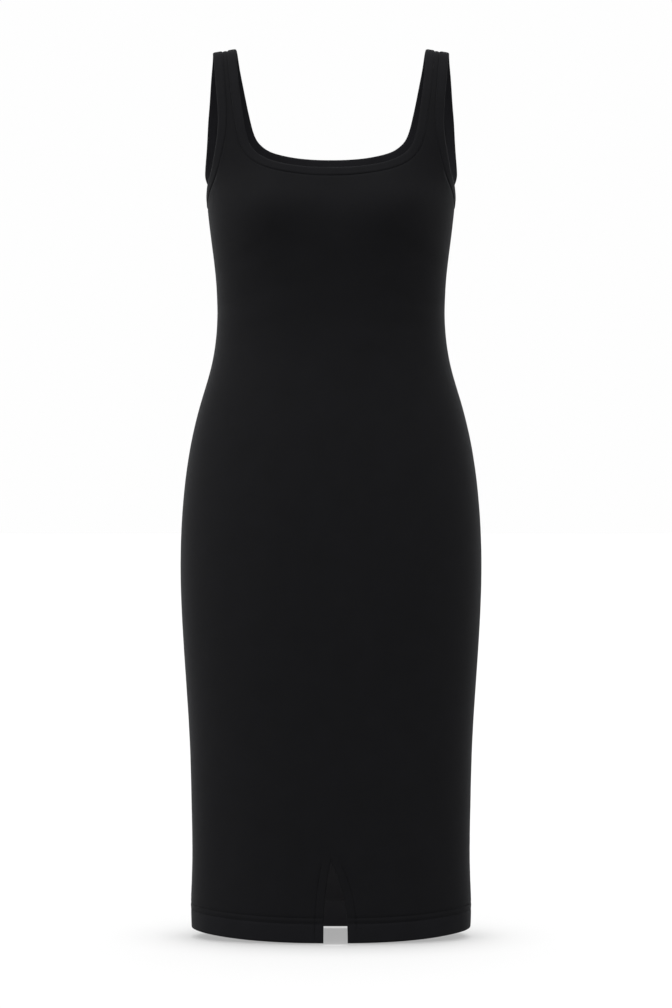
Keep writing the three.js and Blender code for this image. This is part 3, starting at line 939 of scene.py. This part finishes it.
def paper_material():
    paper, _, shader = new_material("pale_paper")
    set_inputs(shader, {
        "Base Color": (0.31, 0.31, 0.31, 1), "Roughness": 0.9, "Specular IOR Level": 0.1,
        "Emission Color": (1, 1, 1, 1), "Emission Strength": 0.388,
    })
    return paper


def paper_sheet(name, corners, level, paper):
    """A level sheet of the studio's paper, its corners anticlockwise seen from above."""
    mesh = bpy.data.meshes.new(name)
    mesh.from_pydata([(x, y, level) for x, y in corners], [], [list(range(len(corners)))])
    mesh.materials.append(paper)
    sheet = add_object(name, mesh)
    return sheet


def sun(name, energy, angle, turn=(0, 0, 0)):
    lamp = add_object(name, bpy.data.lights.new(name, "SUN"))
    lamp.data.energy = energy
    lamp.data.angle = angle
    lamp.rotation_euler = [math.radians(degrees) for degrees in turn]
    return lamp


def area_light(name, place, target, size, power, color=(1, 1, 1)):
    lamp = add_object(name, bpy.data.lights.new(name, "AREA"))
    lamp.data.shape = "RECTANGLE"
    lamp.data.size, lamp.data.size_y = size
    lamp.data.energy = power
    lamp.data.color = color
    lamp.location = place
    away = np.array(place) - np.array(target)
    tilt = math.atan2(math.hypot(away[0], away[1]), away[2])
    lamp.rotation_euler = (tilt, 0, math.atan2(away[0], -away[1]))
    lamp.visible_camera = False
    return lamp


def light_only(name, lamps, receivers):
    """Lets the lamps reach the receivers alone."""
    group = bpy.data.collections.new(name)
    for receiver in receivers:
        group.objects.link(receiver)
    for lamp in lamps:
        lamp.light_linking.receiver_collection = group


paper = paper_material()
floor = paper_sheet("floor", FLOOR_CORNERS, FLOOR, paper)
# The paper inside the hem stays in the dress's own shade: the overhead light leaves it out
turns = -np.arange(INSIDE_HEM["points"]) * 2 * math.pi / INSIDE_HEM["points"]
rim = [(INSIDE_HEM["wide"] * math.sin(a), INSIDE_HEM["deep"] * math.cos(a)) for a in turns]
paper_sheet("floor_inside_hem", rim, FLOOR + INSIDE_HEM["over"], paper)

scene = bpy.context.scene
world = bpy.data.worlds.new("studio")
world.use_nodes = True
set_inputs(world.node_tree.nodes["Background"], {"Color": (1, 1, 1, 1), "Strength": 0.991})
scene.world = world
scene.view_settings.view_transform = "Standard"
scene.view_settings.look = "None"

key = sun("key", energy=4.3, angle=0.8, turn=(30, 0, -20))
left = area_light("left_strip", (-2.2, 0.15, -0.32), (0, 0, -0.5), (0.8, 2.2), 19)
right = area_light("right_strip", (2.2, 0.1, -0.05), (0, 0, -0.15), (0.8, 0.7), 3.5)
fill = area_light(
    "inside_fill", (0.003, -0.05, -0.625), (0.003, 0.1, -0.625), (0.10, 0.88), 1.8,
    color=(1.0, 0.98, 0.92),
)
light_only("dress", (key, left, right, fill), pieces)
overhead = sun("overhead", energy=3.4, angle=0.25)
light_only("paper", (overhead,), (floor,))

camera = add_object("camera", bpy.data.cameras.new("camera"))
camera.location = (0.0062, -4.5, -0.5666)
camera.rotation_euler = (math.pi / 2, 0, 0)
camera.data.sensor_width = SENSOR
camera.data.lens = SENSOR * FOCAL_PIXELS / PHOTO_HIGH
camera.data.clip_end = 200
scene.camera = camera
